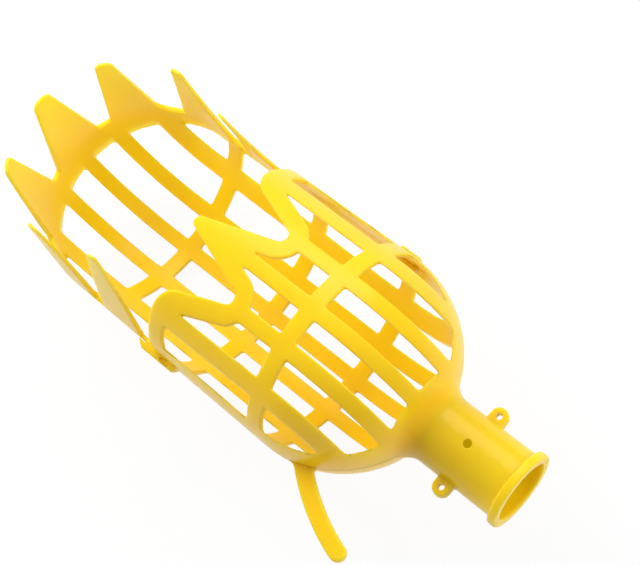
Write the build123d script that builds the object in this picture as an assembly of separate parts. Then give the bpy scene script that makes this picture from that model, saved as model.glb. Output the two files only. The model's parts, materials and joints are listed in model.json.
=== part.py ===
from build123d import *
import os
from math import asin, cos, degrees, pi, radians, sin, sqrt

# Fruit picker head: two moulded half shells that meet on the plane z = 0.
# Origin at the centre of the socket mouth, +Y along the pole axis towards the hood,
# +Z towards the open front. Millimetres.

# Pole socket
pole_bore_d = 30.0
socket_wall = 1.8
flange_lip = 2.5
flange_width = 4.2
flange_round = 1.3
floor_thickness = 2.8
neck_round = 7.0
screw_station = 28.1
pole_screw_d = 4.0
ear_station = 28.6
ear_reach = 3.2
ear_r = 4.2
ear_thickness = 2.4
ear_hole_d = 3.0

# Basket: a round bowl, a slightly tapered wall and a domed hood
basket_r = 54.2
hood_r = 52.2
wall = 2.6
bowl_y = 103.1
hood_y = 233.2
seam_gap = 0.3

# Lattice: windows cut straight through along Z inside a margin of the outline
window_margin = 3.0
hood_margin = 5.8
solid_bottom = 7.8
bar_width = 7.4
bar_pitch = 20.0
bars_each_side = 2
ring_height = 8.4
ring_drop = 17.7
ring_rise = 1.1

# Hood edge and its teeth, listed from left to right round the arch
rim_set_back = 8.0
rim_start = 6.0
tooth_stations = [-114.3, -79.0, -37.0, 0.0, 36.3, 79.0, 117.0]
tooth_heights = [59.5, 53.8, 46.7, 47.7, 45.5, 50.5, 60.0]
tooth_bases = [25.0, 31.0, 31.0, 31.0, 27.0, 31.0, 25.0]
tooth_tips = [5.0, 7.5, 9.0, 10.5, 8.4, 7.5, 5.0]
tooth_draw_ins = [2.5, 2.5, -0.3, 3.4, 2.5, 2.5, 2.5]
tooth_tip_round = 3.6
tooth_edge = 1.5
leg_draw_in = 15.5

# Crown of the front half
mouth_height = 58.2
crown_band = 8.5
notch_x = 17.7
notch_slope = 3.01
notch_depth = 43.1
shoulder_round = 14.0
notch_round = 3.7
crown_tip_round = 3.2

# Branch hook on the back half
hook_angle = 18.0
hook_reach = 22.9
hook_drop = 41.0
hook_bulge = 2.7
hook_width = 8.2
hook_thickness = 5.0

# Keepers that hold the two halves in line
upper_left_keeper_proud = 2.8
upper_right_keeper_proud = 0.8
upper_keeper_depth = 11.0
upper_keeper_length = 24.0
upper_keeper_rise = 4.5
upper_keeper_lip = 2.5
upper_keeper_chamfer = 4.0
lower_keeper_proud = 1.4
lower_keeper_depth = 4.5
lower_keeper_overlap = 4.5
lower_keeper_length = 12.0
lower_keeper_chamfer = 1.2
keeper_clearance = 0.3

# Worked-out sizes
bore_r = pole_bore_d / 2
tube_r = bore_r + socket_wall
flange_r = tube_r + flange_lip
half_gap = seam_gap / 2
far = 3 * (hood_y + hood_r)
neck_centre_x = tube_r + neck_round
neck_y = bowl_y - sqrt((basket_r + neck_round) ** 2 - neck_centre_x**2)
bowl_touch = basket_r / (basket_r + neck_round)
bowl_touch_x = neck_centre_x * bowl_touch
bowl_touch_y = bowl_y + (neck_y - bowl_y) * bowl_touch
bowl_floor_y = bowl_y - basket_r + wall
bore_depth = bowl_floor_y - floor_thickness
window_floor_y = bowl_y - basket_r + solid_bottom
window_dome_y = hood_y - hood_margin + window_margin
ring_1_y = hood_y - ring_drop
ring_3_y = bowl_y + ring_rise
ring_2_y = (ring_1_y + ring_3_y) / 2
crown_y = hood_y - mouth_height
rim_y = crown_y + rim_start
tooth_top = max(tooth_heights)
tooth_leg = max(tooth_stations) + max(tooth_bases) - hood_r * pi / 2
ear_x = tube_r + ear_reach
wall_taper = (basket_r - hood_r) / (hood_y - bowl_y)
bar_centres = [bar_pitch * i for i in range(-bars_each_side, bars_each_side + 1)]


def block(x, y, z):
    """A box from its low and high limits along each axis."""
    low = (x[0], y[0], z[0])
    high = (x[1], y[1], z[1])
    size = [b - a for a, b in zip(low, high)]
    middle = [(a + b) / 2 for a, b in zip(low, high)]
    return Pos(*middle) * Box(*size)


def wall_radius(y):
    """Outer radius of the tapered wall at a station along the axis."""
    return basket_r - wall_taper * (y - bowl_y)


def basket_solid(inset):
    """Solid that fills the basket inside its outer skin, drawn in by a distance."""
    low_r = basket_r - inset
    high_r = hood_r - inset
    bowl = CenterArc((0, bowl_y), low_r, -90, 90)
    side = Line((low_r, bowl_y), (high_r, hood_y))
    dome = CenterArc((0, hood_y), high_r, 0, 90)
    axis = Line((0, hood_y + high_r), (0, bowl_y - low_r))
    return revolve(make_face([bowl, side, dome, axis]), Axis.Y)


def outer_solid():
    """Solid of the whole outer skin: flange, tube, neck round, bowl, wall and dome."""
    lip_r = flange_r - flange_round
    lip_y = flange_width - flange_round
    start_angle = degrees(asin((bowl_touch_y - bowl_y) / basket_r))
    edges = [
        Line((0, 0), (lip_r, 0)),
        CenterArc((lip_r, flange_round), flange_round, -90, 90),
        Line((flange_r, flange_round), (flange_r, lip_y)),
        CenterArc((lip_r, lip_y), flange_round, 0, 90),
        Line((lip_r, flange_width), (tube_r, flange_width)),
        Line((tube_r, flange_width), (tube_r, neck_y)),
        CenterArc((neck_centre_x, neck_y), neck_round, 180, start_angle),
        CenterArc((0, bowl_y), basket_r, start_angle, -start_angle),
        Line((basket_r, bowl_y), (hood_r, hood_y)),
        CenterArc((0, hood_y), hood_r, 0, 90),
        Line((0, hood_y + hood_r), (0, 0)),
    ]
    return revolve(make_face(edges), Axis.Y)


def moulded_shell():
    """The closed shell that both halves are cut from."""
    bore = Pos(0, bore_depth / 2 - half_gap, 0) * Rot(90, 0, 0) * Cylinder(bore_r, bore_depth + seam_gap)
    return outer_solid() - basket_solid(wall) - bore


def window_field():
    """Room for every window: the outline drawn in by the margin, above the solid bottom."""
    low_r = basket_r - window_margin
    high_r = hood_r - window_margin
    half_x = sqrt(low_r**2 - (bowl_y - window_floor_y) ** 2)
    turn = degrees(asin((window_floor_y - bowl_y) / low_r))
    edges = [
        Line((-half_x, window_floor_y), (half_x, window_floor_y)),
        CenterArc((0, bowl_y), low_r, turn, -turn),
        Line((low_r, bowl_y), (high_r, window_dome_y)),
        CenterArc((0, window_dome_y), high_r, 0, 180),
        Line((-high_r, window_dome_y), (-low_r, bowl_y)),
        CenterArc((0, bowl_y), low_r, 180, -turn),
    ]
    return extrude(make_face(edges), far, both=True)


def crown_edges(inset):
    """Corner points and rounds of the front half's top edge, drawn in by a distance."""
    flank = sqrt(1 + notch_slope**2)
    top = crown_y - inset
    notch = crown_y - notch_depth - inset * flank
    tip = crown_y - notch_depth + notch_slope * notch_x - inset * flank
    shoulder_x = notch_x + (top - notch) / notch_slope
    half = [(shoulder_x, top), (notch_x, notch)]
    left = [(-x, y) for x, y in half]
    points = [(-far, top)] + left + [(0, tip)] + half[::-1] + [(far, top)]
    shoulder = shoulder_round - inset
    apex = max(crown_tip_round - inset, seam_gap)
    rounds = [shoulder, notch_round + inset, apex, notch_round + inset, shoulder]
    return points, rounds


def crown_prism(inset):
    """Everything below the front half's top edge, drawn in by a distance."""
    points, rounds = crown_edges(inset)
    edge = FilletPolyline(points, radius=rounds)
    close = Polyline(points[-1], (far, -far), (-far, -far), points[0])
    return extrude(make_face([edge, close]), far, both=True)


def rim_section(z, draw_in, foot_draw_in, thickness):
    """Closed section of the sheet that the hood's teeth are cut from: an arch on two legs."""
    outer = sqrt(hood_r**2 - rim_set_back**2) - draw_in
    inner = outer - thickness
    spread = wall_taper * tooth_leg + draw_in - foot_draw_in
    foot = hood_y - tooth_leg
    edges = [
        Line((-outer - spread, foot), (-outer, hood_y)),
        CenterArc((0, hood_y), outer, 180, -180),
        Line((outer, hood_y), (outer + spread, foot)),
        Line((outer + spread, foot), (inner + spread, foot)),
        Line((inner + spread, foot), (inner, hood_y)),
        CenterArc((0, hood_y), inner, 0, 180),
        Line((-inner, hood_y), (-inner - spread, foot)),
        Line((-inner - spread, foot), (-outer - spread, foot)),
    ]
    return Pos(0, 0, z) * make_face(edges)


def tooth_place(station):
    """Point, outward direction and sideways direction of a tooth at a station round the arch."""
    arc = abs(station)
    side = 1 if station >= 0 else -1
    quarter = hood_r * pi / 2
    if arc < quarter:
        angle = arc / hood_r
        point = (side * hood_r * sin(angle), hood_y + hood_r * cos(angle), 0)
        outward = (side * sin(angle), cos(angle), 0)
    else:
        point = (side * hood_r, hood_y - (arc - quarter), 0)
        outward = (side, 0, 0)
    sideways = (outward[1], -outward[0], 0)
    return point, outward, sideways


def hood_tooth(station, top, base, tip, draw_in):
    """One tooth: its outline drawn through the sheet that leans on from the hood's edge."""
    point, outward, sideways = tooth_place(station)
    outline = Polygon(
        (-base / 2, -rim_set_back),
        (base / 2, -rim_set_back),
        (tip / 2, top),
        (-tip / 2, top),
        align=None,
    )
    tip_corners = outline.vertices().sort_by(Axis.Y)[-2:]
    outline = fillet(tip_corners, min(tooth_tip_round, 0.48 * tip))
    inward = tuple(-v for v in outward)
    plane = Plane(origin=point, x_dir=sideways, z_dir=inward)
    prism = extrude(plane * outline, 5 * wall + leg_draw_in, both=True)
    start = rim_section(-rim_set_back, 0, 0, wall)
    end = rim_section(tooth_top, draw_in, leg_draw_in, tooth_edge)
    return loft([start, end], ruled=True) & prism


def bar_span(centre):
    """Limits of a bar across the basket."""
    return (centre - bar_width / 2, centre + bar_width / 2)


def ear(side, z):
    """A lug beside the socket with a hole for a clamp screw."""
    low, high = z
    middle = (low + high) / 2
    height = high - low
    boss = Pos(side * ear_x, ear_station, middle) * Cylinder(ear_r, height)
    web = Pos(side * ear_x / 2, ear_station, middle) * Box(ear_x, 2 * ear_r, height)
    hole = Pos(side * ear_x, ear_station, middle) * Cylinder(ear_hole_d / 2, 2 * height)
    tube = Pos(0, ear_station, 0) * Rot(90, 0, 0) * Cylinder(tube_r, 4 * ear_r)
    return boss + web - hole - tube


def keeper(side, y, z, proud, lip, chamfer, envelope, clear_envelope):
    """A lug on the back rail, clear of the front half where it reaches over the seam."""
    skin = wall_radius(y[0])
    outside = skin + proud
    inside = wall_radius(y[1]) - 2 * wall
    face = Plane(origin=(0, y[0], 0), x_dir=(1, 0, 0), z_dir=(0, -1, 0))
    section = Polyline(
        (inside, z[1]), (outside, z[1]), (outside, z[1] - lip), (skin - wall, z[0]), (inside, z[0]), close=True
    )
    bar = extrude(face * make_face(section), y[0] - y[1])
    plan = Polyline(
        (inside, y[0]), (outside, y[0]), (outside, y[1] - chamfer), (skin, y[1]), (inside, y[1]), close=True
    )
    front_room = block((0, far), (-far, far), (-half_gap, far)) & clear_envelope
    lug = (bar & extrude(make_face(plan), far, both=True)) - envelope - front_room
    return lug if side > 0 else mirror(lug, Plane.YZ)


def branch_hook(envelope):
    """A curved strap that hangs the head on a branch, beside the bowl."""
    angle = radians(hook_angle)
    root_r = basket_r - hook_width / 2
    root = Vector(-root_r * cos(angle), bowl_y - root_r * sin(angle))
    tip = root + Vector(-hook_reach, -hook_drop)
    chord = tip - root
    across = Vector(chord.Y, -chord.X).normalized()
    middle = root + chord * 0.5 + across * hook_bulge
    strap = SlotArc(ThreePointArc(root, middle, tip), hook_width)
    back = -half_gap - hook_thickness
    return Pos(0, 0, back) * extrude(strap, hook_thickness) - envelope


def lengthwise_bars(lattice, spans):
    """The lattice bars of one half: one solid for each stretch between rings."""
    bars = []
    for centre in bar_centres:
        x = bar_span(centre)
        stretches = [lattice & block(x, y, (-far, far)) for y in spans]
        bars.append(Compound(children=[s for piece in stretches for s in piece.solids()]))
    return bars


def back_half(shell, field, envelope):
    """Nodes of the back half, which carries the hood, its teeth and the branch hook."""
    half = shell & block((-far, far), (-far, far), (-far, -half_gap))
    half -= block((-far, far), (rim_y, far), (-rim_set_back, far))
    lattice = half & field
    border = half - field
    rings = {"lower": ring_3_y, "middle": ring_2_y, "upper": ring_1_y}
    nodes = {}
    nodes["back_socket_half"] = half & block((-far, far), (-far, neck_y), (-far, 0))
    nodes["back_bowl"] = border & block((-far, far), (neck_y, bowl_y), (-far, 0))
    nodes["back_left_rail"] = border & block((-far, 0), (bowl_y, hood_y), (-far, 0))
    nodes["back_right_rail"] = border & block((0, far), (bowl_y, hood_y), (-far, 0))
    nodes["hood_arch"] = border & block((-far, far), (hood_y, far), (-far, 0))
    for name, low in rings.items():
        nodes[f"back_{name}_ring"] = lattice & block((-far, far), (low, low + ring_height), (-far, 0))
    spans = [
        (window_floor_y, ring_3_y),
        (ring_3_y + ring_height, ring_2_y),
        (ring_2_y + ring_height, ring_1_y),
        (ring_1_y + ring_height, far),
    ]
    for number, bar in enumerate(lengthwise_bars(lattice, spans), start=1):
        nodes[f"back_bar_{number}"] = bar
    teeth = zip(tooth_stations, tooth_heights, tooth_bases, tooth_tips, tooth_draw_ins)
    for number, sizes in enumerate(teeth, start=1):
        nodes[f"hood_tooth_{number}"] = hood_tooth(*sizes)
    nodes["branch_hook"] = branch_hook(envelope)
    return nodes


def front_half(shell, field):
    """Nodes of the front half, which carries the crown and the pole screw hole."""
    half = shell & block((-far, far), (-far, far), (half_gap, far)) & crown_prism(0)
    screw_hole = Pos(0, screw_station, tube_r) * Cylinder(pole_screw_d / 2, 4 * socket_wall)
    below_crown = half & crown_prism(crown_band)
    crown = half - crown_prism(crown_band)
    lattice = below_crown & field
    border = below_crown - field
    nodes = {}
    nodes["front_socket_half"] = half & block((-far, far), (-far, neck_y), (0, far))
    nodes["front_socket_half"] -= screw_hole
    nodes["front_bowl"] = border & block((-far, far), (neck_y, bowl_y), (0, far))
    nodes["front_left_rail"] = border & block((-far, 0), (bowl_y, far), (0, far))
    nodes["front_right_rail"] = border & block((0, far), (bowl_y, far), (0, far))
    nodes["front_ring"] = lattice & block((-far, far), (ring_3_y, ring_3_y + ring_height), (0, far))
    spans = [(window_floor_y, ring_3_y), (ring_3_y + ring_height, far)]
    for number, bar in enumerate(lengthwise_bars(lattice, spans), start=1):
        nodes[f"front_bar_{number}"] = bar
    nodes["crown_left_shoulder"] = crown & block((-far, -notch_x), (-far, far), (0, far))
    nodes["crown_tooth"] = crown & block((-notch_x, notch_x), (-far, far), (0, far))
    nodes["crown_right_shoulder"] = crown & block((notch_x, far), (-far, far), (0, far))
    return nodes


def fittings(envelope):
    """Lugs on the mouldings: clamp screw ears and seam keepers."""
    clear_envelope = basket_solid(-keeper_clearance)
    top = rim_y + upper_keeper_rise
    upper_y = (top - upper_keeper_length, top)
    upper_z = (-upper_keeper_depth, -half_gap)
    middle = ring_3_y + ring_height / 2
    lower_y = (middle - lower_keeper_length / 2, middle + lower_keeper_length / 2)
    lower_z = (-lower_keeper_depth, lower_keeper_overlap)
    nodes = {}
    sides = (("left", -1, upper_left_keeper_proud), ("right", 1, upper_right_keeper_proud))
    for label, side, proud in sides:
        nodes[f"front_{label}_ear"] = ear(side, (half_gap, half_gap + ear_thickness))
        nodes[f"back_{label}_ear"] = ear(side, (-half_gap - ear_thickness, -half_gap))
        lug = (proud, upper_keeper_lip, upper_keeper_chamfer)
        nodes[f"upper_{label}_keeper"] = keeper(side, upper_y, upper_z, *lug, envelope, clear_envelope)
    lug = (lower_keeper_proud, lower_keeper_depth + lower_keeper_overlap, lower_keeper_chamfer)
    nodes["lower_right_keeper"] = keeper(1, lower_y, lower_z, *lug, envelope, clear_envelope)
    return nodes


def main():
    """Build every node and write one file for each."""
    envelope = outer_solid()
    shell = moulded_shell()
    field = window_field()
    nodes = back_half(shell, field, envelope) | front_half(shell, field) | fittings(envelope)
    os.makedirs("parts", exist_ok=True)
    for name, shape in nodes.items():
        solids = shape.solids()
        export_step(Compound(children=solids) if len(solids) > 1 else solids[0], f"parts/{name}.step")


main()
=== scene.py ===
"""Fruit picker head: two moulded halves, dressed as yellow polypropylene on white paper.

Each half is described as a distance field in millimetres, one term for each feature of the
moulding, and is then cast into one closed skin with rounded edges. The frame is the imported
model's: origin at the socket's mouth, +Y towards the hood, +Z towards the open front.
"""

from __future__ import annotations

import json
import logging
import math
from dataclasses import dataclass
from enum import Enum, IntEnum
from typing import Any, Callable

import bpy
import numpy as np
from mathutils import Matrix, Vector


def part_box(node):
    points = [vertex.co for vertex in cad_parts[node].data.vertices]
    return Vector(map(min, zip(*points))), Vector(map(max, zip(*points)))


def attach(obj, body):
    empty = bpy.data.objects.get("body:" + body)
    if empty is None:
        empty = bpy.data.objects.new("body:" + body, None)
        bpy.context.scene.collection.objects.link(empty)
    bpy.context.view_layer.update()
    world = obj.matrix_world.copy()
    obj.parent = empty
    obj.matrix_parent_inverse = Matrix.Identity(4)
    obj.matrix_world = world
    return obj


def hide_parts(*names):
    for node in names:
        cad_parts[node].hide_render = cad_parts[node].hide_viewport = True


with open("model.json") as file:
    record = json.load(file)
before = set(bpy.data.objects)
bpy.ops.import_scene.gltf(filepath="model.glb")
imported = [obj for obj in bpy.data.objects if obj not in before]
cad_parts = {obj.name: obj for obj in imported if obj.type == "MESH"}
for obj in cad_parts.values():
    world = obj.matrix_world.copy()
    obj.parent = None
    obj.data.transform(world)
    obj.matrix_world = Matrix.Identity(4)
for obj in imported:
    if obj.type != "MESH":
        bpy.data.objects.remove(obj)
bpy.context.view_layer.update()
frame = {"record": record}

MM = 0.001
TINY = 1e-6
# Point attribute that holds the share of the paler highlight painted on outer edges.
HIGHLIGHT_ATTRIBUTE = "painted_edge_highlight"
LOG = logging.getLogger("fruit_picker_head")

Array = np.ndarray
Distance = Callable[[Array, Array, Array], Array]
Spans = tuple[tuple[float, float], ...]


def meet(a: Array, b: Array, edge: float | Array, lean: float = 0.0) -> Array:
    """Keep what two forms share, with its outer edge rounded.

    Args:
        a: distance to the first form, negative inside it.
        b: distance to the second form.
        edge: radius of the round, in mm.
        lean: cosine of the angle between the two faces' normals, 0 for a square corner.

    Returns:
        Distance to the shared form.
    """
    a, b = a + edge, b + edge
    past_corner = (a > lean * b) & (b > lean * a)
    corner = np.sqrt(np.maximum(a * a + b * b - 2 * lean * a * b, 0) / (1 - lean**2))
    return np.where(past_corner, corner, np.maximum(a, b)) - edge


def join(a: Array, b: Array, fillet: float | Array, lean: float = 0.0) -> Array:
    """Put two forms together, with a fillet in the corner between them.

    Args:
        a: distance to the first form, negative inside it.
        b: distance to the second form.
        fillet: radius of the fillet, in mm.
        lean: cosine of the angle between the two faces' normals, 0 for a square corner.

    Returns:
        Distance to the joined form.
    """
    return -meet(-a, -b, fillet, lean)


def slab(v: Array, low: float, high: float) -> Array:
    """Distance to the space between two planes across one axis."""
    return np.abs(v - (low + high) / 2) - (high - low) / 2


@dataclass(frozen=True)
class Basket:
    """The body of both halves: a bowl, a slightly tapered wall and a domed hood, in mm.

    A window is cut straight through along Z, so its edge would be knife-thin where the wall
    nearly lies along the cut. There the edge is rounded by up to thin_edge more, from where the
    wall's normal has less than thin_below of its length along Z.
    """

    basket_r: float = 54.2
    hood_r: float = 52.2
    wall: float = 2.6
    bowl_y: float = 103.1
    hood_y: float = 233.2
    seam_gap: float = 0.3
    seam_edge: float = 0.3
    edge: float = 0.5
    thin_edge: float = 0.8
    thin_below: float = 0.55

    @property
    def hood_quarter(self) -> float:
        """Way from the hood's top round to the wall, in mm."""
        return self.hood_r * math.pi / 2

    def on_wall(self, y: Array) -> Array:
        """Nearest station along the axis that has a straight wall."""
        return np.clip(y, self.bowl_y, self.hood_y)

    def wall_radius(self, y: Array) -> Array:
        """Outer radius of the tapered wall at a station along the axis."""
        share = (y - self.bowl_y) / (self.hood_y - self.bowl_y)
        return self.basket_r + share * (self.hood_r - self.basket_r)

    def skin(self, x: Array, y: Array, z: Array, inset: float = 0.0) -> Array:
        """Distance to the basket's full form.

        Args:
            x: across, in mm.
            y: along the axis, in mm.
            z: towards the front, in mm.
            inset: how far the form is drawn in, in mm.

        Returns:
            Distance, negative inside.
        """
        station = self.on_wall(y)
        return np.hypot(np.hypot(x, z), y - station) - self.wall_radius(station) + inset

    def window_edge(self, x: Array, y: Array, z: Array) -> Array:
        """Edge radius of a window, larger where the cut grazes the wall.

        Args:
            x: across, in mm.
            y: along the axis, in mm.
            z: towards the front, in mm.

        Returns:
            Radius in mm.
        """
        beyond = y - self.on_wall(y)
        facing = np.abs(z) / np.maximum(np.sqrt(x * x + z * z + beyond * beyond), 1.0)
        return self.edge + self.thin_edge * np.clip(1 - facing / self.thin_below, 0, 1)


@dataclass(frozen=True)
class Socket:
    """The tube that goes on the pole, with its flange, clamp ears and screw hole, in mm."""

    bore_r: float = 15.0
    bore_depth: float = 48.7
    bore_edge: float = 0.4
    tube_r: float = 16.8
    neck_round: float = 7.0
    flange_r: float = 19.3
    flange_width: float = 4.2
    flange_round: float = 0.9
    flange_fillet: float = 0.8
    screw_y: float = 28.1
    screw_r: float = 2.0
    ear_x: float = 20.0
    ear_y: float = 28.6
    ear_r: float = 4.2
    ear_hole_r: float = 1.5
    ear_thickness: float = 2.4
    ear_edge: float = 0.5
    ear_fillet: float = 0.8
    hole_edge: float = 0.3
    ear_margin: float = 1.0
    screw_margin: float = 1.5

    def outside(self, body: Array, x: Array, y: Array, z: Array) -> Array:
        """Add the tube and its flange below the basket.

        Args:
            body: distance to the basket's full form.
            x: across, in mm.
            y: along the axis, in mm.
            z: towards the front, in mm.

        Returns:
            Distance to basket, neck, tube and flange together.
        """
        r = np.hypot(x, z)
        # The tube starts inside the flange, so that no fillet swells at the mouth.
        tube = np.maximum(r - self.tube_r, slab(y, self.flange_width / 2, 2 * self.bore_depth))
        out = r - (self.flange_r - self.flange_round)
        up = slab(y, self.flange_round, self.flange_width - self.flange_round)
        ring = np.hypot(np.maximum(out, 0), np.maximum(up, 0)) - self.flange_round
        ring = ring + np.minimum(np.maximum(out, up), 0)
        return join(join(body, tube, self.neck_round), ring, self.flange_fillet)

    def bore(self, x: Array, y: Array, z: Array) -> Array:
        """Distance to the room that the pole takes."""
        return np.maximum(np.hypot(x, z) - self.bore_r, y - self.bore_depth)

    def screw_hole(self, x: Array, y: Array, z: Array) -> Array:
        """Distance to the pole screw's hole, through the front of the tube."""
        return np.maximum(np.hypot(x, y - self.screw_y) - self.screw_r, -z)

    def ears(self, x: Array, y: Array, z: Array, low: float, high: float) -> Array:
        """Distance to the two pierced lugs beside the tube.

        Args:
            x: across, in mm.
            y: along the axis, in mm.
            z: towards the front, in mm.
            low: back face of the lugs, in mm.
            high: front face of the lugs, in mm.

        Returns:
            Distance, negative inside.
        """
        across = np.abs(x)
        beyond = np.maximum(across - self.ear_x, 0)
        plate = np.hypot(beyond, y - self.ear_y) - self.ear_r
        lug = meet(plate, slab(z, low, high), self.ear_edge)
        hole = np.hypot(across - self.ear_x, y - self.ear_y) - self.ear_hole_r
        return meet(lug, -hole, self.hole_edge)

    def close_work(self) -> tuple[Spans, Spans, Spans]:
        """Stretches along x, y and z where the lugs and holes need a closer grid.

        Returns:
            Lowest and highest station of each stretch, in mm, for each axis in turn.
        """
        reach = self.ear_r + self.ear_margin
        thick = self.ear_thickness + self.ear_margin
        screw = self.screw_r + self.screw_margin
        lugs = tuple((side - reach, side + reach) for side in (-self.ear_x, self.ear_x))
        along = (self.ear_y - reach, self.ear_y + reach)
        return (*lugs, (-screw, screw)), (along,), ((-thick, thick),)


@dataclass(frozen=True)
class Lattice:
    """Windows cut straight through along Z, between lengthwise bars and rings, in mm."""

    margin: float = 3.0
    hood_margin: float = 5.8
    floor_y: float = 56.7
    bar_width: float = 7.4
    bar_pitch: float = 20.0
    bars_each_side: int = 2
    ring_height: float = 8.4
    corner: float = 1.1

    def room(self, basket: Basket, x: Array, y: Array) -> Array:
        """Distance to the room for every window, seen from the front.

        Args:
            basket: sizes of the body.
            x: across, in mm.
            y: along the axis, in mm.

        Returns:
            Distance, negative inside.
        """
        dome_y = basket.hood_y - self.hood_margin + self.margin
        along = np.clip((y - basket.bowl_y) / (dome_y - basket.bowl_y), 0, 1)
        beyond = y - np.clip(y, basket.bowl_y, dome_y)
        radius = basket.basket_r + along * (basket.hood_r - basket.basket_r) - self.margin
        return meet(np.hypot(x, beyond) - radius, self.floor_y - y, self.corner)

    def windows(self, room: Array, x: Array, y: Array, rings: tuple[float, ...]) -> Array:
        """Distance to the windows that are left between bars and rings.

        Args:
            room: distance to the room for every window.
            x: across, in mm.
            y: along the axis, in mm.
            rings: lower edge of each ring, in mm.

        Returns:
            Distance, negative in a window.
        """
        steps = np.clip(np.round(x / self.bar_pitch), -self.bars_each_side, self.bars_each_side)
        bars = np.abs(x - steps * self.bar_pitch) - self.bar_width / 2
        bands = np.min([slab(y, low, low + self.ring_height) for low in rings], axis=0)
        return meet(meet(room, -bars, self.corner), -bands, self.corner)


@dataclass(frozen=True)
class HoodTooth:
    """Sizes of one blunt tooth, in mm, on the sheet that goes on from the hood's edge.

    The tip is rounded by tip_round, but by no more than tip_share of the tip's width.
    """

    station: float
    tall: float
    base: float
    tip: float
    draw_in: float
    roots: tuple[float, float] = (1.6, 1.6)
    tip_round: float = 5.0
    tip_share: float = 0.48

    def profile(self, arc: Array, z: Array, set_back: float, below: float) -> Array:
        """Distance to the tooth's outline on the flat sheet, with the edge it stands on.

        Args:
            arc: place round the hood's edge, in mm from the middle.
            z: towards the front, in mm.
            set_back: how far the hood's edge lies behind the seam, in mm.
            below: how far the sheet goes on below the hood's edge, in mm.

        Returns:
            Distance, negative inside.
        """
        slope = (self.base - self.tip) / 2 / (self.tall + set_back)
        half = self.base / 2 - slope * (z + set_back)
        length = math.hypot(1, slope)
        flank = (np.abs(arc - self.station) - half) / length
        round_r = min(self.tip_round, self.tip_share * self.tip)
        tooth = meet(flank, z - self.tall, round_r, slope / length)
        root = np.where(arc > self.station, self.roots[1], self.roots[0])
        outline = join(tooth, z + set_back, root, slope / length)
        return np.maximum(outline, -z - set_back - below)


@dataclass(frozen=True)
class HoodTeeth:
    """The hood's free edge and the seven teeth that comb the stems, from left to right, in mm.

    On its inner side the dome turns into a tooth by rim_turn degrees, with a wide fillet.
    """

    set_back: float = 8.0
    rim_y: float = 181.0
    rim_turn: float = 12.0
    rim_fillet: float = 60.0
    below_rim: float = 9.0
    edge: float = 0.55
    tip_thickness: float = 1.5
    leg_draw_in: float = 15.5
    least_r: float = 1.0
    teeth: tuple[HoodTooth, ...] = (
        HoodTooth(-114.3, 59.5, 25.0, 5.0, 2.5),
        HoodTooth(-79.0, 53.8, 31.0, 7.5, 2.5),
        HoodTooth(-37.0, 46.7, 31.0, 9.0, -0.3),
        HoodTooth(0.0, 47.7, 31.0, 10.5, 3.4),
        HoodTooth(36.3, 45.5, 27.0, 8.4, 2.5, (1.6, 9.0)),
        HoodTooth(79.0, 50.5, 31.0, 7.5, 2.5),
        HoodTooth(117.0, 60.0, 25.0, 5.0, 2.5),
    )

    def unroll(self, basket: Basket, x: Array, y: Array) -> tuple[Array, Array, Array]:
        """Lay the toothed sheet flat.

        Args:
            basket: sizes of the body.
            x: across, in mm.
            y: along the axis, in mm.

        Returns:
            Distance from the sheet's axis, place round its edge from the middle, and drop
            below the dome's start, all in mm.
        """
        drop = np.maximum(basket.hood_y - y, 0)
        beyond = np.maximum(y - basket.hood_y, 0)
        arc = basket.hood_r * np.arctan2(np.abs(x), np.maximum(beyond, TINY))
        arc = np.where(drop > 0, basket.hood_quarter + drop, arc) * np.where(x < 0, -1, 1)
        return np.hypot(x, beyond), arc, drop

    def blades(self, basket: Basket, x: Array, y: Array, z: Array) -> Array:
        """Distance to the toothed sheet that goes on from the hood's edge.

        Args:
            basket: sizes of the body.
            x: across, in mm.
            y: along the axis, in mm.
            z: towards the front, in mm.

        Returns:
            Distance, negative inside.
        """
        radius, arc, drop = self.unroll(basket, x, y)
        top = max(tooth.tall for tooth in self.teeth)
        widest = max(tooth.base for tooth in self.teeth)
        rise = (z + self.set_back) / (top + self.set_back)
        height = np.maximum(rise, 0)
        thick = basket.wall + (self.tip_thickness - basket.wall) * height
        leg = self.teeth[-1].station + widest - basket.hood_quarter
        full_r = np.where(drop > 0, basket.wall_radius(y), basket.hood_r)
        rim_r = np.sqrt(full_r**2 - self.set_back**2)
        # Below the rim the sheet follows the dome, above it the dome's slope goes straight on.
        level = np.minimum(z, -self.set_back)
        least = self.least_r**2
        dome_out = np.sqrt(np.maximum(full_r**2 - level**2, least))
        dome_in = np.sqrt(np.maximum((full_r - basket.wall) ** 2 - level**2, least))
        dome_in = dome_in + (z - level) * self.set_back / dome_in
        turn = math.cos(math.radians(self.rim_turn))
        sheets = []
        for tooth in self.teeth:
            lean = tooth.draw_in + (self.leg_draw_in - tooth.draw_in) * drop / leg
            outside = radius - dome_out + lean * height
            tooth_in = rim_r - lean * rise - thick - radius
            inside = join(dome_in - radius, tooth_in, self.rim_fillet, turn)
            profile = tooth.profile(arc, z, self.set_back, self.below_rim)
            sheets.append(meet(np.maximum(outside, inside), profile, self.edge))
        return np.maximum(np.min(sheets, axis=0), self.rim_y - y)


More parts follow.
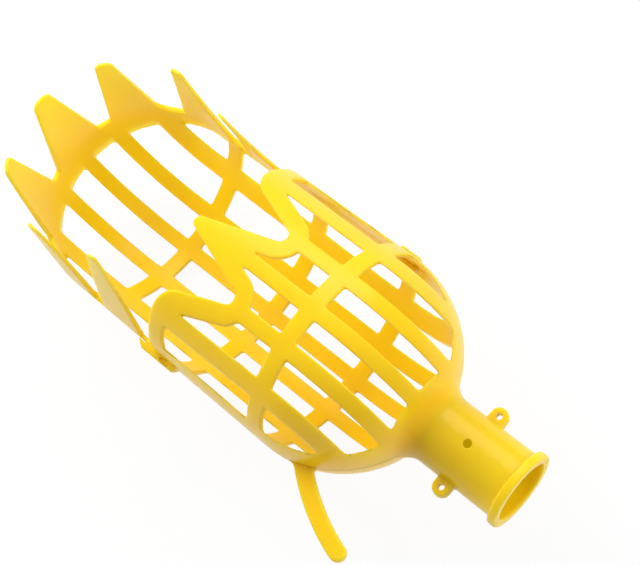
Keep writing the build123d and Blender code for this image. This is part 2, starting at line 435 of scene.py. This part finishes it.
@dataclass(frozen=True)
class Crown:
    """The front half's top edge: a middle tooth between two notches and two shoulders, in mm."""

    top_y: float = 175.0
    band: float = 8.5
    notch_x: float = 17.7
    notch_depth: float = 43.1
    slope: float = 3.01
    shoulder_round: float = 14.0
    notch_round: float = 3.7
    tip_round: float = 3.2

    def below(self, x: Array, y: Array) -> Array:
        """Distance to everything under the crown's edge, seen from the front.

        Args:
            x: across, in mm.
            y: along the axis, in mm.

        Returns:
            Distance, negative under the edge.
        """
        flank = math.hypot(1, self.slope)
        low = self.top_y - self.notch_depth
        tip = low + self.slope * self.notch_x
        right = (y - tip + self.slope * x) / flank
        left = (y - tip - self.slope * x) / flank
        sharp = (1 - self.slope**2) / flank**2
        tooth = meet(right, left, self.tip_round, sharp)
        side = (y - low - self.slope * (np.abs(x) - self.notch_x)) / flank
        shoulder = meet(side, y - self.top_y, self.shoulder_round, 1 / flank)
        return join(tooth, shoulder, self.notch_round, sharp)


@dataclass(frozen=True)
class BranchHook:
    """The curved strap beside the bowl that hangs the head on a branch, in mm and degrees."""

    angle: float = 18.0
    reach: float = 22.9
    drop: float = 41.0
    bulge: float = 2.7
    width: float = 8.2
    thickness: float = 5.0
    edge: float = 1.0
    fillet: float = 2.2

    def strap(self, basket: Basket, x: Array, y: Array, z: Array) -> Array:
        """Distance to the strap.

        Args:
            basket: sizes of the body.
            x: across, in mm.
            y: along the axis, in mm.
            z: towards the front, in mm.

        Returns:
            Distance, negative inside.
        """
        turn = math.radians(self.angle)
        root_r = basket.basket_r - self.width / 2
        root = np.array((-root_r * math.cos(turn), basket.bowl_y - root_r * math.sin(turn)))
        chord = np.array((-self.reach, -self.drop))
        tip = root + chord
        length = float(np.hypot(*chord))
        across = np.array((chord[1], -chord[0])) / length
        bend_r = (length**2 / 4 + self.bulge**2) / (2 * self.bulge)
        centre = root + chord / 2 - across * (bend_r - self.bulge)
        from_x, from_y = x - centre[0], y - centre[1]
        aside = (from_x * chord[0] + from_y * chord[1]) / length
        on_arc = (np.abs(aside) < length / 2) & (from_x * across[0] + from_y * across[1] > 0)
        ends = np.minimum(np.hypot(x - root[0], y - root[1]), np.hypot(x - tip[0], y - tip[1]))
        line = np.where(on_arc, np.abs(np.hypot(from_x, from_y) - bend_r), ends)
        back = -basket.seam_gap / 2
        return meet(line - self.width / 2, slab(z, back - self.thickness, back), self.edge)


@dataclass(frozen=True)
class Keepers:
    """Lugs on the back rail that hold the two halves in line, in mm."""

    upper_y: tuple[float, float] = (161.5, 185.5)
    upper_z: tuple[float, float] = (-11.0, -0.15)
    upper_depth: float = 8.0
    left_proud: float = 2.8
    right_proud: float = 0.8
    upper_lip: float = 2.5
    upper_chamfer: float = 4.0
    upper_round: float = 1.0
    slope_round: float = 0.6
    face_edge: float = 0.5
    fillet: float = 0.5
    pocket_y: tuple[float, float] = (164.5, 170.5)
    pocket_depth: float = 2.4
    pocket_open: float = 1.0
    pocket_wall: float = 0.8
    pocket_corner: float = 0.6
    pocket_end: float = 0.4
    pocket_edge: float = 0.3
    lower_y: tuple[float, float] = (102.4, 114.4)
    lower_z: tuple[float, float] = (-4.5, 4.5)
    lower_depth: float = 6.0
    lower_proud: float = 1.4
    lower_round: float = 1.1
    clearance: float = 0.3

    def upper(self, basket: Basket, x: Array, y: Array, z: Array) -> Array:
        """Distance to the pair of lugs beside the crown's shoulders, which taper to the back.

        Args:
            basket: sizes of the body.
            x: across, in mm.
            y: along the axis, in mm.
            z: towards the front, in mm.

        Returns:
            Distance, negative inside.
        """
        skin = basket.wall_radius(np.array(self.upper_y[0]))
        proud = np.where(x < 0, self.left_proud, self.right_proud)
        out = np.abs(x) - skin - proud
        low, high = self.upper_z
        run, fall = proud + basket.wall, high - self.upper_lip - low
        under = (out * fall - run * (z - high + self.upper_lip)) / np.hypot(run, fall)
        start = self.upper_y[1] - self.upper_chamfer
        top = out * self.upper_chamfer + proud * (y - start)
        top = top / np.hypot(self.upper_chamfer, proud)
        block = np.maximum(out, -out - self.upper_depth)
        lug = meet(block, slab(y, *self.upper_y), self.upper_round)
        lug = meet(meet(lug, top, self.slope_round), under, self.slope_round)
        lug = meet(lug, slab(z, *self.upper_z), self.face_edge)
        mouth = slab(z, high - self.pocket_depth, high + self.pocket_open)
        pocket = meet(slab(y, *self.pocket_y), mouth, self.pocket_corner)
        sides = slab(out, -self.left_proud, -self.pocket_wall)
        pocket = meet(pocket, sides, self.pocket_end)
        return meet(lug, -pocket, self.pocket_edge)

    def lower(self, basket: Basket, x: Array, y: Array, z: Array) -> Array:
        """Distance to the single lug at the front ring's right end.

        Args:
            basket: sizes of the body.
            x: across, in mm.
            y: along the axis, in mm.
            z: towards the front, in mm.

        Returns:
            Distance, negative inside.
        """
        face = basket.wall_radius(np.array(self.lower_y[0])) + self.lower_proud
        block = slab(x, face - self.lower_depth, face)
        lug = meet(block, slab(y, *self.lower_y), self.lower_round)
        lug = meet(lug, slab(z, *self.lower_z), self.face_edge)
        room = np.maximum(basket.skin(x, y, z, -self.clearance), -basket.seam_gap / 2 - z)
        return np.maximum(lug, -room)


@dataclass(frozen=True)
class Skin:
    """A cast skin: points in mm, four point numbers a face, and each point's normal and bend."""

    points: Array
    faces: Array
    normals: Array
    bend: Array


@dataclass(frozen=True)
class Caster:
    """Casts a distance field into one skin whose points lie on sharp edges too.

    Lengths are in mm. Slopes are taken over a short reach to place the points and over a longer
    one to shade them. Each point is held to the middle of its cell by a small pull, which
    counts where the planes around it leave its place open.
    """

    pitch: float = 0.8
    margin: float = 2.3
    rows_at_once: int = 24
    plane_reach: float = 0.04
    pull: float = 0.06
    steps: int = 2
    step_reach: float = 0.05
    step_most: float = 0.3
    shade_reach: float = 0.3

    def stations(self, low: float, high: float, spans: Spans) -> Array:
        """Grid lines along one axis, twice as close over the given stretches.

        Args:
            low: where the form starts, in mm.
            high: where the form ends, in mm.
            spans: lowest and highest station of each stretch, in mm.

        Returns:
            The lines' stations in mm, in order.
        """
        lines = np.arange(low - self.margin, high + self.margin, self.pitch)
        middles = (lines[:-1] + lines[1:]) / 2
        close = np.any([(middles > a) & (middles < b) for a, b in spans], axis=0)
        return np.sort(np.concatenate([lines, middles[close]]))

    def slopes(self, shape: Distance, points: Array, reach: float) -> tuple[Array, Array]:
        """Direction and bend of the field at points.

        Args:
            shape: the field.
            points: places in mm, one row each.
            reach: half the length that the slope is taken over, in mm.

        Returns:
            Unit directions, and the field's bend, which is positive on outer edges.
        """
        slope = np.empty_like(points)
        around = np.zeros(len(points))
        for axis in range(3):
            ahead, behind = points.copy(), points.copy()
            ahead[:, axis] += reach
            behind[:, axis] -= reach
            up, down = shape(*ahead.T), shape(*behind.T)
            slope[:, axis] = up - down
            around += up + down
        slope /= np.maximum(np.linalg.norm(slope, axis=1, keepdims=True), TINY)
        bend = (around - 2 * 3 * shape(*points.T)) / reach**2
        return slope, bend

    def sample(self, shape: Distance, axes: list[Array]) -> Array:
        """Work out the field wherever three of the grid's lines meet.

        Args:
            shape: the field, in mm.
            axes: the lines' stations along x, y and z, in mm.

        Returns:
            The field's values, in mm.
        """
        across, along, deep = axes
        rows = []
        for start in range(0, len(along), self.rows_at_once):
            some = along[start : start + self.rows_at_once]
            grid = np.meshgrid(across, some, deep, indexing="ij")
            rows.append(shape(*grid).astype(np.float32))
        return np.concatenate(rows, axis=1)

    def crossings(self, values: Array, axes: list[Array], axis: int) -> tuple[Array, Array, Array]:
        """Find where the grid's lines along one axis pass through the skin.

        Args:
            values: the field wherever three of the grid's lines meet, in mm.
            axes: the lines' stations along x, y and z, in mm.
            axis: number of the axis.

        Returns:
            Places in mm, the four cells around each, and whether the line goes out there.
        """
        inside = values < 0
        passes = inside != np.roll(inside, -1, axis)
        passes[tuple(-1 if a == axis else slice(None) for a in range(3))] = False
        at = np.argwhere(passes)
        beyond = at.copy()
        beyond[:, axis] += 1
        here, there = values[tuple(at.T)], values[tuple(beyond.T)]
        place = np.stack([axes[a][at[:, a]] for a in range(3)], axis=1)
        step = axes[axis][beyond[:, axis]] - axes[axis][at[:, axis]]
        place[:, axis] += step * here / (here - there)
        cells = []
        for one, two in ((-1, -1), (0, -1), (0, 0), (-1, 0)):
            cell = at.copy()
            cell[:, (axis + 1) % 3] += one
            cell[:, (axis + 2) % 3] += two
            cells.append(np.ravel_multi_index(tuple(cell.T), values.shape))
        return place, np.stack(cells, axis=1), here < 0

    def cast(
        self, shape: Distance, low: Vector, high: Vector, spans: tuple[Spans, Spans, Spans]
    ) -> Skin:
        """Make the skin of a field inside a box.

        Args:
            shape: the field, in mm.
            low: lowest corner of the box, in mm.
            high: highest corner of the box, in mm.
            spans: stretches along x, y and z that need a closer grid, in mm.

        Returns:
            The skin.
        """
        axes = [self.stations(*limits) for limits in zip(low, high, spans)]
        values = self.sample(shape, axes)
        found = [self.crossings(values, axes, axis) for axis in range(3)]
        place, around, goes_out = (np.concatenate(part) for part in zip(*found))
        cells, faces = np.unique(around, return_inverse=True)
        faces = faces.reshape(around.shape)
        points = self.settle(shape, place, faces, len(cells))
        faces[~goes_out] = faces[~goes_out][:, ::-1]
        return Skin(points, faces, *self.slopes(shape, points, self.shade_reach))

    def settle(self, shape: Distance, place: Array, faces: Array, count: int) -> Array:
        """Find the point of each cell that fits the planes through its crossings.

        Args:
            shape: the field, in mm.
            place: where the field changes sign, one row for each face.
            faces: the four cells around each crossing.
            count: number of cells.

        Returns:
            One point for each cell, in mm.
        """
        normal, _ = self.slopes(shape, place, self.plane_reach)
        owner = faces.ravel()
        spread = np.repeat(np.arange(len(place)), faces.shape[1])
        share = np.bincount(owner, minlength=count)
        middle = np.stack(
            [np.bincount(owner, place[spread, a], count) / share for a in range(3)], axis=1
        )
        offset = np.einsum("ij,ij->i", normal[spread], place[spread] - middle[owner])
        matrix = np.empty((count, 3, 3))
        right = np.empty((count, 3))
        for a in range(3):
            right[:, a] = np.bincount(owner, normal[spread, a] * offset, count)
            for b in range(3):
                product = normal[spread, a] * normal[spread, b]
                matrix[:, a, b] = np.bincount(owner, product, count)
        matrix += self.pull * np.eye(3)
        shift = np.linalg.solve(matrix, right[:, :, None])[:, :, 0]
        length = np.maximum(np.linalg.norm(shift, axis=1, keepdims=True), TINY)
        points = middle + shift * np.minimum(1, self.pitch / length)
        for _ in range(self.steps):
            slope, _ = self.slopes(shape, points, self.step_reach)
            gap = np.clip(shape(*points.T), -self.step_most, self.step_most)
            points = points - slope * gap[:, None]
        return points


class Tone(Enum):
    """sRGB colours of the mouldings, of the highlight painted on their outer edges, of the paper
    they lie on and of the sky.
    """

    YELLOW = "#FAC614"
    DEEP = "#F6BA0C"
    # Paler tone of the highlight painted on outer edges.
    PAINTED_HIGHLIGHT = "#FFDA58"
    PAPER = "#FAFAFA"
    SKY = "#FFFFFF"


class MixColour(IntEnum):
    """Numbers of the Mix node's sockets when it mixes colours."""

    SHARE = 0
    FIRST = 6
    SECOND = 7
    RESULT = 2


def linear(tone: Tone) -> tuple[float, float, float, float]:
    """Turn an sRGB hex value to linear colour, by the sRGB standard's curve.

    Args:
        tone: the named colour.

    Returns:
        Linear red, green, blue and alpha.
    """
    digits = tone.value.lstrip("#")
    values = [int(digits[i : i + 2], 16) / 255 for i in (0, 2, 4)]
    red, green, blue = [
        v / 12.92 if v <= 0.04045 else ((v + 0.055) / 1.055) ** 2.4 for v in values
    ]
    return red, green, blue, 1.0


def add_node(
    tree: bpy.types.NodeTree,
    kind: str,
    settings: dict[str | int, Any] | None = None,
    links: dict[str | int, bpy.types.NodeSocket] | None = None,
) -> bpy.types.Node:
    """Add a shader node with its settings and links.

    Args:
        tree: node tree of a material or world.
        kind: Blender's name for the node.
        settings: values for inputs by name or number, or for the node's own properties.
        links: sockets to feed into inputs, by name or number.

    Returns:
        The new node.
    """
    node = tree.nodes.new(kind)
    for key, value in (settings or {}).items():
        if isinstance(key, int) or key in node.inputs:
            node.inputs[key].default_value = value
        else:
            setattr(node, key, value)
    for key, socket in (links or {}).items():
        tree.links.new(socket, node.inputs[key])
    return node


@dataclass(frozen=True)
class MouldedPolypropylene:
    """Yellow polypropylene, injection moulded in a satin tool."""

    # To the eye it has a soft, slightly waxy sheen, light that bleeds through thin bars and
    # edges, faint clouds where the plastic flowed, and a paler highlight painted on outer edges.
    name: str = "moulded_polypropylene_yellow"
    roughness: float = 0.3
    ior: float = 1.49
    gloss: float = 0.4
    # How far light goes inside, and the shares of that way for red, green and blue.
    bleed: float = 0.7
    bleed_mm: float = 12.0
    bleed_shares: tuple[float, float, float] = (1.0, 1.0, 0.2)
    # Flow clouds, in the colour.
    cloud_mm: float = 38.0
    cloud_detail: float = 3.0
    cloud_harshness: float = 0.55
    cloud_range: tuple[float, float] = (0.4, 0.75)
    cloud_share: float = 0.35
    # Handling scuffs, in the roughness.
    scuff_mm: float = 9.0
    scuff_detail: float = 5.0
    scuff_harshness: float = 0.7
    scuff_range: tuple[float, float] = (0.3, 0.7)
    scuff_dulling: tuple[float, float] = (-0.02, 0.04)
    # The tool's satin grain is about 0.1 mm, too fine to show, so it is drawn coarser.
    grain_mm: float = 0.6
    grain_detail: float = 2.0
    grain_depth_mm: float = 0.03
    grain_strength: float = 0.08

    def material(self) -> bpy.types.Material:
        """Build the shader.

        Returns:
            The material.
        """
        material = bpy.data.materials.new(self.name)
        material.use_nodes = True
        tree = material.node_tree
        tree.nodes.clear()
        where = {"Vector": add_node(tree, "ShaderNodeTexCoord").outputs["Object"]}
        plastic = add_node(
            tree,
            "ShaderNodeBsdfPrincipled",
            {
                "IOR": self.ior,
                "Specular IOR Level": self.gloss,
                "Subsurface Weight": self.bleed,
                "Subsurface Radius": self.bleed_shares,
                "Subsurface Scale": self.bleed_mm * MM,
            },
            {
                "Base Color": self.colour(tree, where),
                "Roughness": self.dullness(tree, where),
                "Normal": self.grain(tree, where),
            },
        )
        add_node(tree, "ShaderNodeOutputMaterial", {}, {"Surface": plastic.outputs["BSDF"]})
        return material

    def colour(
        self, tree: bpy.types.NodeTree, where: dict[str | int, bpy.types.NodeSocket]
    ) -> bpy.types.NodeSocket:
        """Cloud the yellow and paint a paler highlight on outer edges.

        Args:
            tree: node tree of the material.
            where: link that places the pattern.

        Returns:
            The colour.
        """
        clouds = add_node(
            tree,
            "ShaderNodeTexNoise",
            {
                "Scale": 1 / (self.cloud_mm * MM),
                "Detail": self.cloud_detail,
                "Roughness": self.cloud_harshness,
            },
            where,
        )
        low, high = self.cloud_range
        share = add_node(
            tree,
            "ShaderNodeMapRange",
            {"From Min": low, "From Max": high, "To Max": self.cloud_share},
            {"Value": clouds.outputs["Fac"]},
        )
        flow = add_node(
            tree,
            "ShaderNodeMix",
            {
                "data_type": "RGBA",
                MixColour.FIRST: linear(Tone.YELLOW),
                MixColour.SECOND: linear(Tone.DEEP),
            },
            {MixColour.SHARE: share.outputs["Result"]},
        )
        # Painted highlight: outer edges are mixed towards a paler tone.
        edge_highlight = add_node(tree, "ShaderNodeAttribute", {"attribute_name": HIGHLIGHT_ATTRIBUTE})
        highlighted = add_node(
            tree,
            "ShaderNodeMix",
            {"data_type": "RGBA", MixColour.SECOND: linear(Tone.PAINTED_HIGHLIGHT)},
            {
                MixColour.SHARE: edge_highlight.outputs["Fac"],
                MixColour.FIRST: flow.outputs[MixColour.RESULT],
            },
        )
        return highlighted.outputs[MixColour.RESULT]

    def dullness(
        self, tree: bpy.types.NodeTree, where: dict[str | int, bpy.types.NodeSocket]
    ) -> bpy.types.NodeSocket:
        """Scuff the sheen.

        Args:
            tree: node tree of the material.
            where: link that places the pattern.

        Returns:
            The roughness.
        """
        scuffs = add_node(
            tree,
            "ShaderNodeTexNoise",
            {
                "Scale": 1 / (self.scuff_mm * MM),
                "Detail": self.scuff_detail,
                "Roughness": self.scuff_harshness,
            },
            where,
        )
        low, high = self.scuff_range
        smooth, dull = (self.roughness + change for change in self.scuff_dulling)
        scuffed = add_node(
            tree,
            "ShaderNodeMapRange",
            {"From Min": low, "From Max": high, "To Min": smooth, "To Max": dull},
            {"Value": scuffs.outputs["Fac"]},
        )
        return scuffed.outputs["Result"]

    def grain(
        self, tree: bpy.types.NodeTree, where: dict[str | int, bpy.types.NodeSocket]
    ) -> bpy.types.NodeSocket:
        """Roughen the surface with the tool's grain.

        Args:
            tree: node tree of the material.
            where: link that places the pattern.

        Returns:
            The normal.
        """
        grains = add_node(
            tree,
            "ShaderNodeTexNoise",
            {"Scale": 1 / (self.grain_mm * MM), "Detail": self.grain_detail},
            where,
        )
        bump = add_node(
            tree,
            "ShaderNodeBump",
            {"Strength": self.grain_strength, "Distance": self.grain_depth_mm * MM},
            {"Height": grains.outputs["Fac"]},
        )
        return bump.outputs["Normal"]


@dataclass(frozen=True)
class WhitePaper:
    """Matt white background paper, laid flat."""

    # To the eye it is plain white, with no sheen, and it keeps a faint shadow.
    name: str = "white_background_paper"
    own_light: float = 0.92

    def material(self) -> bpy.types.Material:
        """Build the shader.

        Returns:
            The material.
        """
        material = bpy.data.materials.new(self.name)
        material.use_nodes = True
        tree = material.node_tree
        tree.nodes.clear()
        path = add_node(tree, "ShaderNodeLightPath")
        seen = path.outputs["Is Camera Ray"]
        for ray in ("Is Glossy Ray", "Is Transmission Ray"):
            either = add_node(
                tree,
                "ShaderNodeMath",
                {"operation": "MAXIMUM"},
                {0: seen, 1: path.outputs[ray]},
            )
            seen = either.outputs[0]
        share = add_node(
            tree, "ShaderNodeMath", {"operation": "MULTIPLY", 1: self.own_light}, {0: seen}
        )
        matt = add_node(tree, "ShaderNodeBsdfDiffuse", {"Color": linear(Tone.PAPER)})
        glow = add_node(tree, "ShaderNodeEmission", {"Strength": 1.0})
        mixed = add_node(
            tree,
            "ShaderNodeMixShader",
            {},
            {0: share.outputs[0], 1: matt.outputs[0], 2: glow.outputs[0]},
        )
        add_node(tree, "ShaderNodeOutputMaterial", {}, {"Surface": mixed.outputs[0]})
        return material


@dataclass(frozen=True)
class PaintedEdgeHighlight:
    """How much paler an outer edge is painted as a highlight, from how tightly the skin bends
    there.
    """

    from_bend: float = 0.6
    per_bend: float = 0.15
    most: float = 0.2

    def share(self, bend: Array) -> Array:
        """Share of the painted highlight's paler tone at each point."""
        return np.clip((bend - self.from_bend) * self.per_bend, 0, self.most).astype(np.float32)


@dataclass(frozen=True)
class Moulding:
    """What the two halves share: the body's sizes, the casting and the dressing."""

    basket: Basket = Basket()
    socket: Socket = Socket()
    lattice: Lattice = Lattice()
    # Painted highlight on outer edges, from how tightly the skin bends.
    edge_highlight: PaintedEdgeHighlight = PaintedEdgeHighlight()
    name: str = "moulding"
    body: str = ""

    def shell(self, x: Array, y: Array, z: Array) -> Array:
        """Distance to the closed shell that a half is cut from.

        Args:
            x: across, in mm.
            y: along the axis, in mm.
            z: towards the front, in mm.

        Returns:
            Distance, negative inside.
        """
        outer = self.socket.outside(self.basket.skin(x, y, z), x, y, z)
        shell = np.maximum(outer, -self.basket.skin(x, y, z, self.basket.wall))
        return meet(shell, -self.socket.bore(x, y, z), self.socket.bore_edge)

    def hollow(self, solid: Array, x: Array, y: Array, z: Array) -> Array:
        """Clear the basket's inside and the bore of anything that was added."""
        solid = np.maximum(solid, -self.basket.skin(x, y, z, self.basket.wall))
        return np.maximum(solid, -self.socket.bore(x, y, z))

    def distance(self, x: Array, y: Array, z: Array) -> Array:
        """Distance to the finished half, which each half cuts from the shell in its own way."""
        return self.shell(x, y, z)

    def nodes(self) -> list[str]:
        """Names of this half's CAD nodes."""
        return frame["record"]["behaviour"]["bodies"][self.body]

    def box(self) -> tuple[Vector, Vector]:
        """Find the box of this half's CAD nodes.

        Returns:
            Lowest and highest corner, in mm.
        """
        corners = [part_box(node) for node in self.nodes()]
        low = Vector([min(c[0][a] for c in corners) for a in range(3)]) / MM
        high = Vector([max(c[1][a] for c in corners) for a in range(3)]) / MM
        return low, high

    def build(self, caster: Caster) -> bpy.types.Object:
        """Cast the half and put it in the scene.

        Args:
            caster: makes the skin.

        Returns:
            The half's object.
        """
        skin = caster.cast(self.distance, *self.box(), self.socket.close_work())
        mesh = bpy.data.meshes.new(self.name)
        mesh.from_pydata((skin.points * MM).tolist(), [], skin.faces.tolist())
        mesh.shade_smooth()
        # Share of the painted edge highlight at each point.
        edge_highlight = mesh.attributes.new(HIGHLIGHT_ATTRIBUTE, "FLOAT", "POINT")
        edge_highlight.data.foreach_set("value", self.edge_highlight.share(skin.bend))
        mesh.normals_split_custom_set_from_vertices(skin.normals.tolist())
        half = bpy.data.objects.new(self.name, mesh)
        bpy.context.scene.collection.objects.link(half)
        return half

    def dress(self, half: bpy.types.Object, finish: bpy.types.Material) -> None:
        """Give the half its finish, its body and the nodes that it stands for.

        Args:
            half: the half's object.
            finish: material of the moulding.
        """
        half.data.materials.append(finish)
        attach(half, self.body)
        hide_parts(*self.nodes())


@dataclass(frozen=True)
class BackHalf(Moulding):
    """The back half, which carries the hood, its teeth, the keepers and the branch hook."""

    name: str = "back_half_moulding"
    body: str = "back_half"
    teeth: HoodTeeth = HoodTeeth()
    hook: BranchHook = BranchHook()
    keepers: Keepers = Keepers()
    rings: tuple[float, ...] = (104.2, 159.85, 215.5)
    beside_wall: float = 0.4

    def distance(self, x: Array, y: Array, z: Array) -> Array:
        """Distance to the finished back half.

        Args:
            x: across, in mm.
            y: along the axis, in mm.
            z: towards the front, in mm.

        Returns:
            Distance, negative inside.
        """
        basket, socket, teeth = self.basket, self.socket, self.teeth
        seam = basket.seam_gap / 2
        solid = self.shell(x, y, z)
        ears = socket.ears(x, y, z, -seam - socket.ear_thickness, -seam)
        solid = join(solid, ears, socket.ear_fillet)
        solid = join(solid, self.hook.strap(basket, x, y, z), self.hook.fillet)
        solid = join(solid, self.keepers.upper(basket, x, y, z), self.keepers.fillet)
        solid = self.hollow(solid, x, y, z)
        solid = meet(solid, z + seam, basket.seam_edge)
        # The rim is cut back as far out as the wall goes, so that the keepers stay whole.
        above = np.maximum(teeth.rim_y - y, -teeth.set_back - z)
        outside = np.abs(x) - basket.wall_radius(y)
        above = np.maximum(above, np.minimum(outside, self.beside_wall))
        solid = meet(solid, -above, basket.edge)
        room = self.lattice.room(basket, x, y)
        windows = self.lattice.windows(room, x, y, self.rings)
        edge = basket.window_edge(x, y, z)
        solid = meet(solid, -np.maximum(windows, z), edge)
        blades = teeth.blades(basket, x, y, z)
        blades = meet(blades, -np.maximum(windows, z + teeth.set_back), edge)
        solid = np.minimum(solid, blades)
        return np.minimum(solid, self.keepers.lower(basket, x, y, z))


@dataclass(frozen=True)
class FrontHalf(Moulding):
    """The front half, which carries the crown and the pole screw hole."""

    name: str = "front_half_moulding"
    body: str = "front_half"
    crown: Crown = Crown()
    rings: tuple[float, ...] = (104.2,)

    def distance(self, x: Array, y: Array, z: Array) -> Array:
        """Distance to the finished front half.

        Args:
            x: across, in mm.
            y: along the axis, in mm.
            z: towards the front, in mm.

        Returns:
            Distance, negative inside.
        """
        basket, socket, lattice = self.basket, self.socket, self.lattice
        seam = basket.seam_gap / 2
        below = self.crown.below(x, y)
        solid = self.shell(x, y, z)
        ears = socket.ears(x, y, z, seam, seam + socket.ear_thickness)
        solid = self.hollow(join(solid, ears, socket.ear_fillet), x, y, z)
        solid = meet(solid, seam - z, basket.seam_edge)
        solid = meet(solid, below, basket.edge)
        room = meet(lattice.room(basket, x, y), below + self.crown.band, lattice.corner)
        windows = lattice.windows(room, x, y, self.rings)
        solid = meet(solid, -np.maximum(windows, -z), basket.window_edge(x, y, z))
        return meet(solid, -socket.screw_hole(x, y, z), socket.hole_edge)


@dataclass(frozen=True)
class View:
    """The camera: its place and the three directions of its picture."""

    place_mm: tuple[float, float, float] = (-94.18, -158.25, 738.43)
    right: tuple[float, float, float] = (0.64463, -0.73944, -0.19414)
    up: tuple[float, float, float] = (0.75133, 0.56582, 0.33965)
    back: tuple[float, float, float] = (-0.14130, -0.36481, 0.92030)
    lens_mm: float = 98.01
    sensor_mm: float = 36.0
    sight_m: float = 20.0

    def axes(self) -> Matrix:
        """Rotation whose columns are right, up and back."""
        return Matrix((self.right, self.up, self.back)).transposed()

    def build(self) -> None:
        """Put the camera in the scene."""
        data = bpy.data.cameras.new("camera")
        data.sensor_fit = "HORIZONTAL"
        data.sensor_width = self.sensor_mm
        data.lens = self.lens_mm
        data.clip_end = self.sight_m
        camera = bpy.data.objects.new("camera", data)
        place = Matrix.Translation(Vector(self.place_mm) * MM)
        camera.matrix_world = place @ self.axes().to_4x4()
        bpy.context.scene.collection.objects.link(camera)
        bpy.context.scene.camera = camera


@dataclass(frozen=True)
class Softbox:
    """One square soft lamp, in metres and watts.

    Its place is right, up and back of the head's middle. One without sheen lights the plastic
    and leaves no bright patch on it.
    """

    name: str
    place: tuple[float, float, float]
    size: float
    power: float
    sheen: bool = True

    def build(self, view: View, aim: Vector) -> None:
        """Hang the lamp so that it faces the head.

        Args:
            view: the camera, whose directions the place is given in.
            aim: the head's middle, in metres.
        """
        data = bpy.data.lights.new(self.name, "AREA")
        data.size = self.size
        data.energy = self.power
        lamp = bpy.data.objects.new(self.name, data)
        lamp.location = aim + view.axes() @ Vector(self.place)
        lamp.rotation_euler = (aim - lamp.location).to_track_quat("-Z", "Y").to_euler()
        lamp.visible_camera = False
        lamp.visible_glossy = self.sheen
        bpy.context.scene.collection.objects.link(lamp)


@dataclass(frozen=True)
class Studio:
    """White paper under the head and soft lamps around it."""

    floor_z_mm: float = -57.0
    floor_size_mm: float = 12000.0
    aim_mm: tuple[float, float, float] = (0.0, 140.0, 0.0)
    sky: float = 0.35
    lamps: tuple[Softbox, ...] = (
        Softbox("hood_softbox", (-0.45, 0.5, 0.35), 0.5, 4.85, sheen=False),
        Softbox("right_softbox", (0.9, 0.2, 0.6), 0.6, 5.5, sheen=False),
        Softbox("top_softbox", (0.04, 0.98, 0.54), 0.75, 3.7),
    )

    def lay_paper(self) -> None:
        """Lay the paper that the head lies on."""
        half = self.floor_size_mm * MM / 2
        corners = [(-half, -half, 0), (half, -half, 0), (half, half, 0), (-half, half, 0)]
        mesh = bpy.data.meshes.new("paper")
        mesh.from_pydata(corners, [], [(0, 1, 2, 3)])
        mesh.materials.append(WhitePaper().material())
        paper = bpy.data.objects.new("paper", mesh)
        paper.location = (0, 0, self.floor_z_mm * MM)
        bpy.context.scene.collection.objects.link(paper)

    def set_sky(self) -> None:
        """Set the even light from all around."""
        world = bpy.data.worlds.new("studio")
        world.use_nodes = True
        sky = world.node_tree.nodes["Background"]
        sky.inputs["Color"].default_value = linear(Tone.SKY)
        sky.inputs["Strength"].default_value = self.sky
        bpy.context.scene.world = world

    def build(self, view: View) -> None:
        """Lay the paper, hang the lamps and set the sky.

        Args:
            view: the camera, whose directions place the lamps.
        """
        self.lay_paper()
        for lamp in self.lamps:
            lamp.build(view, Vector(self.aim_mm) * MM)
        self.set_sky()


def main() -> None:
    """Build the camera, the studio and both halves, and note the sizes."""
    logging.basicConfig(level=logging.INFO, format="%(name)s: %(message)s")
    bpy.context.scene.view_settings.view_transform = "Standard"
    view, studio = View(), Studio()
    view.build()
    studio.build(view)
    LOG.info("studio: paper, %d softboxes, %.2f mm lens", len(studio.lamps), view.lens_mm)
    finish = MouldedPolypropylene().material()
    caster = Caster()
    for moulding in (BackHalf(), FrontHalf()):
        half = moulding.build(caster)
        moulding.dress(half, finish)
        LOG.info("%s: %d faces on %s", half.name, len(half.data.polygons), moulding.body)


if __name__ == "__main__":
    main()
